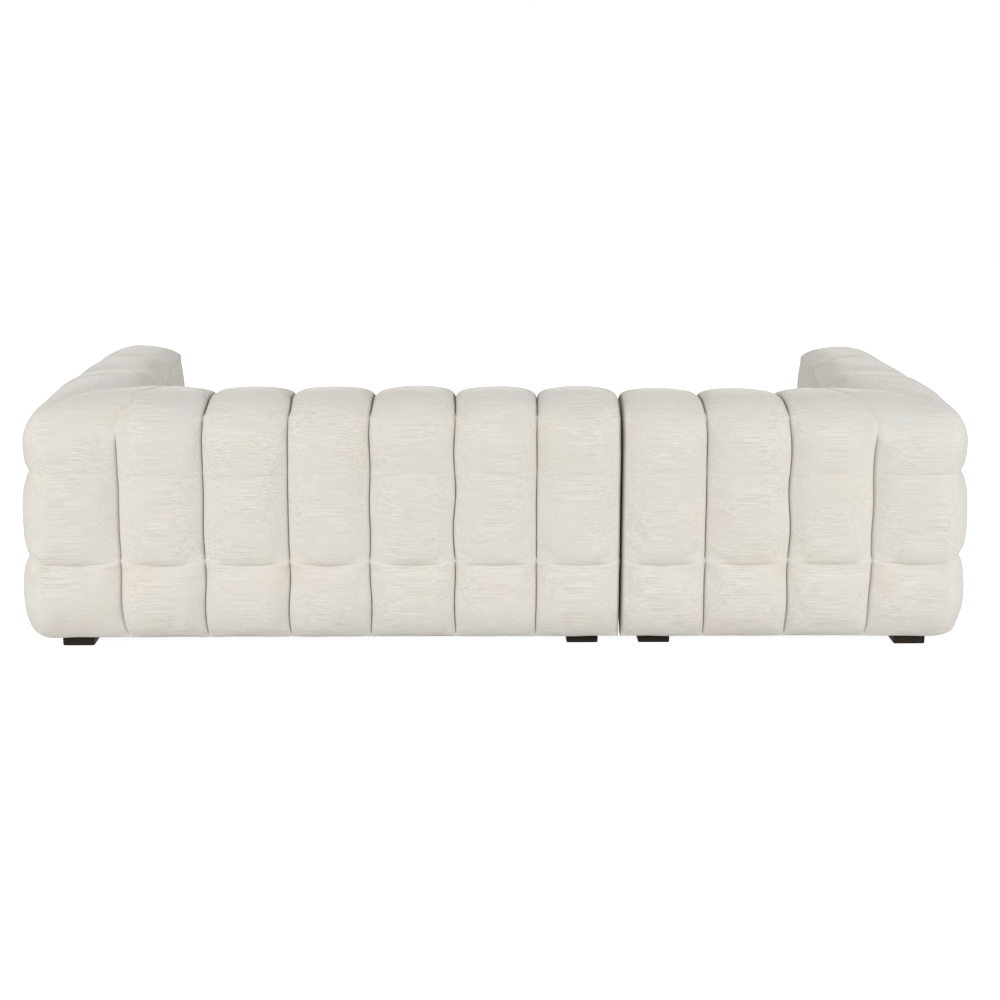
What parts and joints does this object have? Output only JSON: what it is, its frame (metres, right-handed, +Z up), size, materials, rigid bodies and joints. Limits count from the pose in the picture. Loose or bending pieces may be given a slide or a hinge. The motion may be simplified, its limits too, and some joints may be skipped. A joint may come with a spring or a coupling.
{
  "type": "tuxedo sofa",
  "caption": "Low upholstered sofa with arms and back of one height, grid tufting all round, loose seat cushions and a body in modules that plug together.",
  "frame": {"origin": "on the floor under the middle of the sofa's overall length and depth", "axes": "+X along the sofa's length, to the right of someone who stands in front of it; +Y from its front to its back; +Z up"},
  "size_m": [2.67, 1.0901, 0.745],
  "materials": {
    "upholstery": "matte cream slub weave",
    "deck_cloth": "plain cream decking cloth over foam",
    "foam": "open-cell foam",
    "timber": "bare softwood and plywood",
    "webbing": "woven elastic webbing",
    "dust_cloth": "black non-woven cloth",
    "black_wood": "black stained, satin",
    "connector_steel": "zinc plated"
  },
  "bodies": {
    "two_seat_module": {"two_seat_back_cover": "upholstery", "two_seat_arm_cover": "upholstery", "two_seat_apron_cover": "upholstery", "two_seat_split_panel": "upholstery", "two_seat_back_foam": "foam", "two_seat_arm_foam": "foam", "two_seat_deck": "deck_cloth", "two_seat_webbing": "webbing", "two_seat_dust_cover": "dust_cloth", "two_seat_back_outer_frame": "timber", "two_seat_back_inner_frame": "timber", "two_seat_back_top_board": "timber", "two_seat_back_bottom_board": "timber", "two_seat_arm_outer_frame": "timber", "two_seat_arm_inner_frame": "timber", "two_seat_arm_top_board": "timber", "two_seat_arm_bottom_board": "timber", "two_seat_front_rail": "timber", "two_seat_rear_rail": "timber", "two_seat_split_rail": "timber", "two_seat_centre_rail": "timber", "two_seat_foot_rear_inner": "black_wood", "two_seat_foot_rear_outer": "black_wood", "two_seat_foot_front_inner": "black_wood", "two_seat_foot_front_outer": "black_wood", "two_seat_front_receiver": "connector_steel", "two_seat_rear_receiver": "connector_steel"},
    "one_seat_module": {"one_seat_back_cover": "upholstery", "one_seat_arm_cover": "upholstery", "one_seat_apron_cover": "upholstery", "one_seat_split_panel": "upholstery", "one_seat_back_foam": "foam", "one_seat_arm_foam": "foam", "one_seat_deck": "deck_cloth", "one_seat_webbing": "webbing", "one_seat_dust_cover": "dust_cloth", "one_seat_back_outer_frame": "timber", "one_seat_back_inner_frame": "timber", "one_seat_back_top_board": "timber", "one_seat_back_bottom_board": "timber", "one_seat_arm_outer_frame": "timber", "one_seat_arm_inner_frame": "timber", "one_seat_arm_top_board": "timber", "one_seat_arm_bottom_board": "timber", "one_seat_front_rail": "timber", "one_seat_rear_rail": "timber", "one_seat_split_rail": "timber", "one_seat_foot_rear_inner": "black_wood", "one_seat_foot_rear_outer": "black_wood", "one_seat_foot_front_inner": "black_wood", "one_seat_foot_front_outer": "black_wood", "one_seat_front_tongue": "connector_steel", "one_seat_rear_tongue": "connector_steel"},
    "left_cushion": {"left_cushion_cover": "upholstery", "left_cushion_core": "foam"},
    "middle_cushion": {"middle_cushion_cover": "upholstery", "middle_cushion_core": "foam"},
    "right_cushion": {"right_cushion_cover": "upholstery", "right_cushion_core": "foam"}
  },
  "joints": [
    {"name": "module_docking", "type": "slide", "parent": "two_seat_module", "child": "one_seat_module", "axis": [-1, 0, 0], "range_m": [0, 0.12]},
    {"name": "left_cushion_lift", "type": "slide", "parent": "one_seat_module", "child": "left_cushion", "axis": [0, 0, 1], "range_m": [0, 0.5]},
    {"name": "middle_cushion_lift", "type": "slide", "parent": "two_seat_module", "child": "middle_cushion", "axis": [0, 0, 1], "range_m": [0, 0.5]},
    {"name": "right_cushion_lift", "type": "slide", "parent": "two_seat_module", "child": "right_cushion", "axis": [0, 0, 1], "range_m": [0, 0.5]}
  ]
}
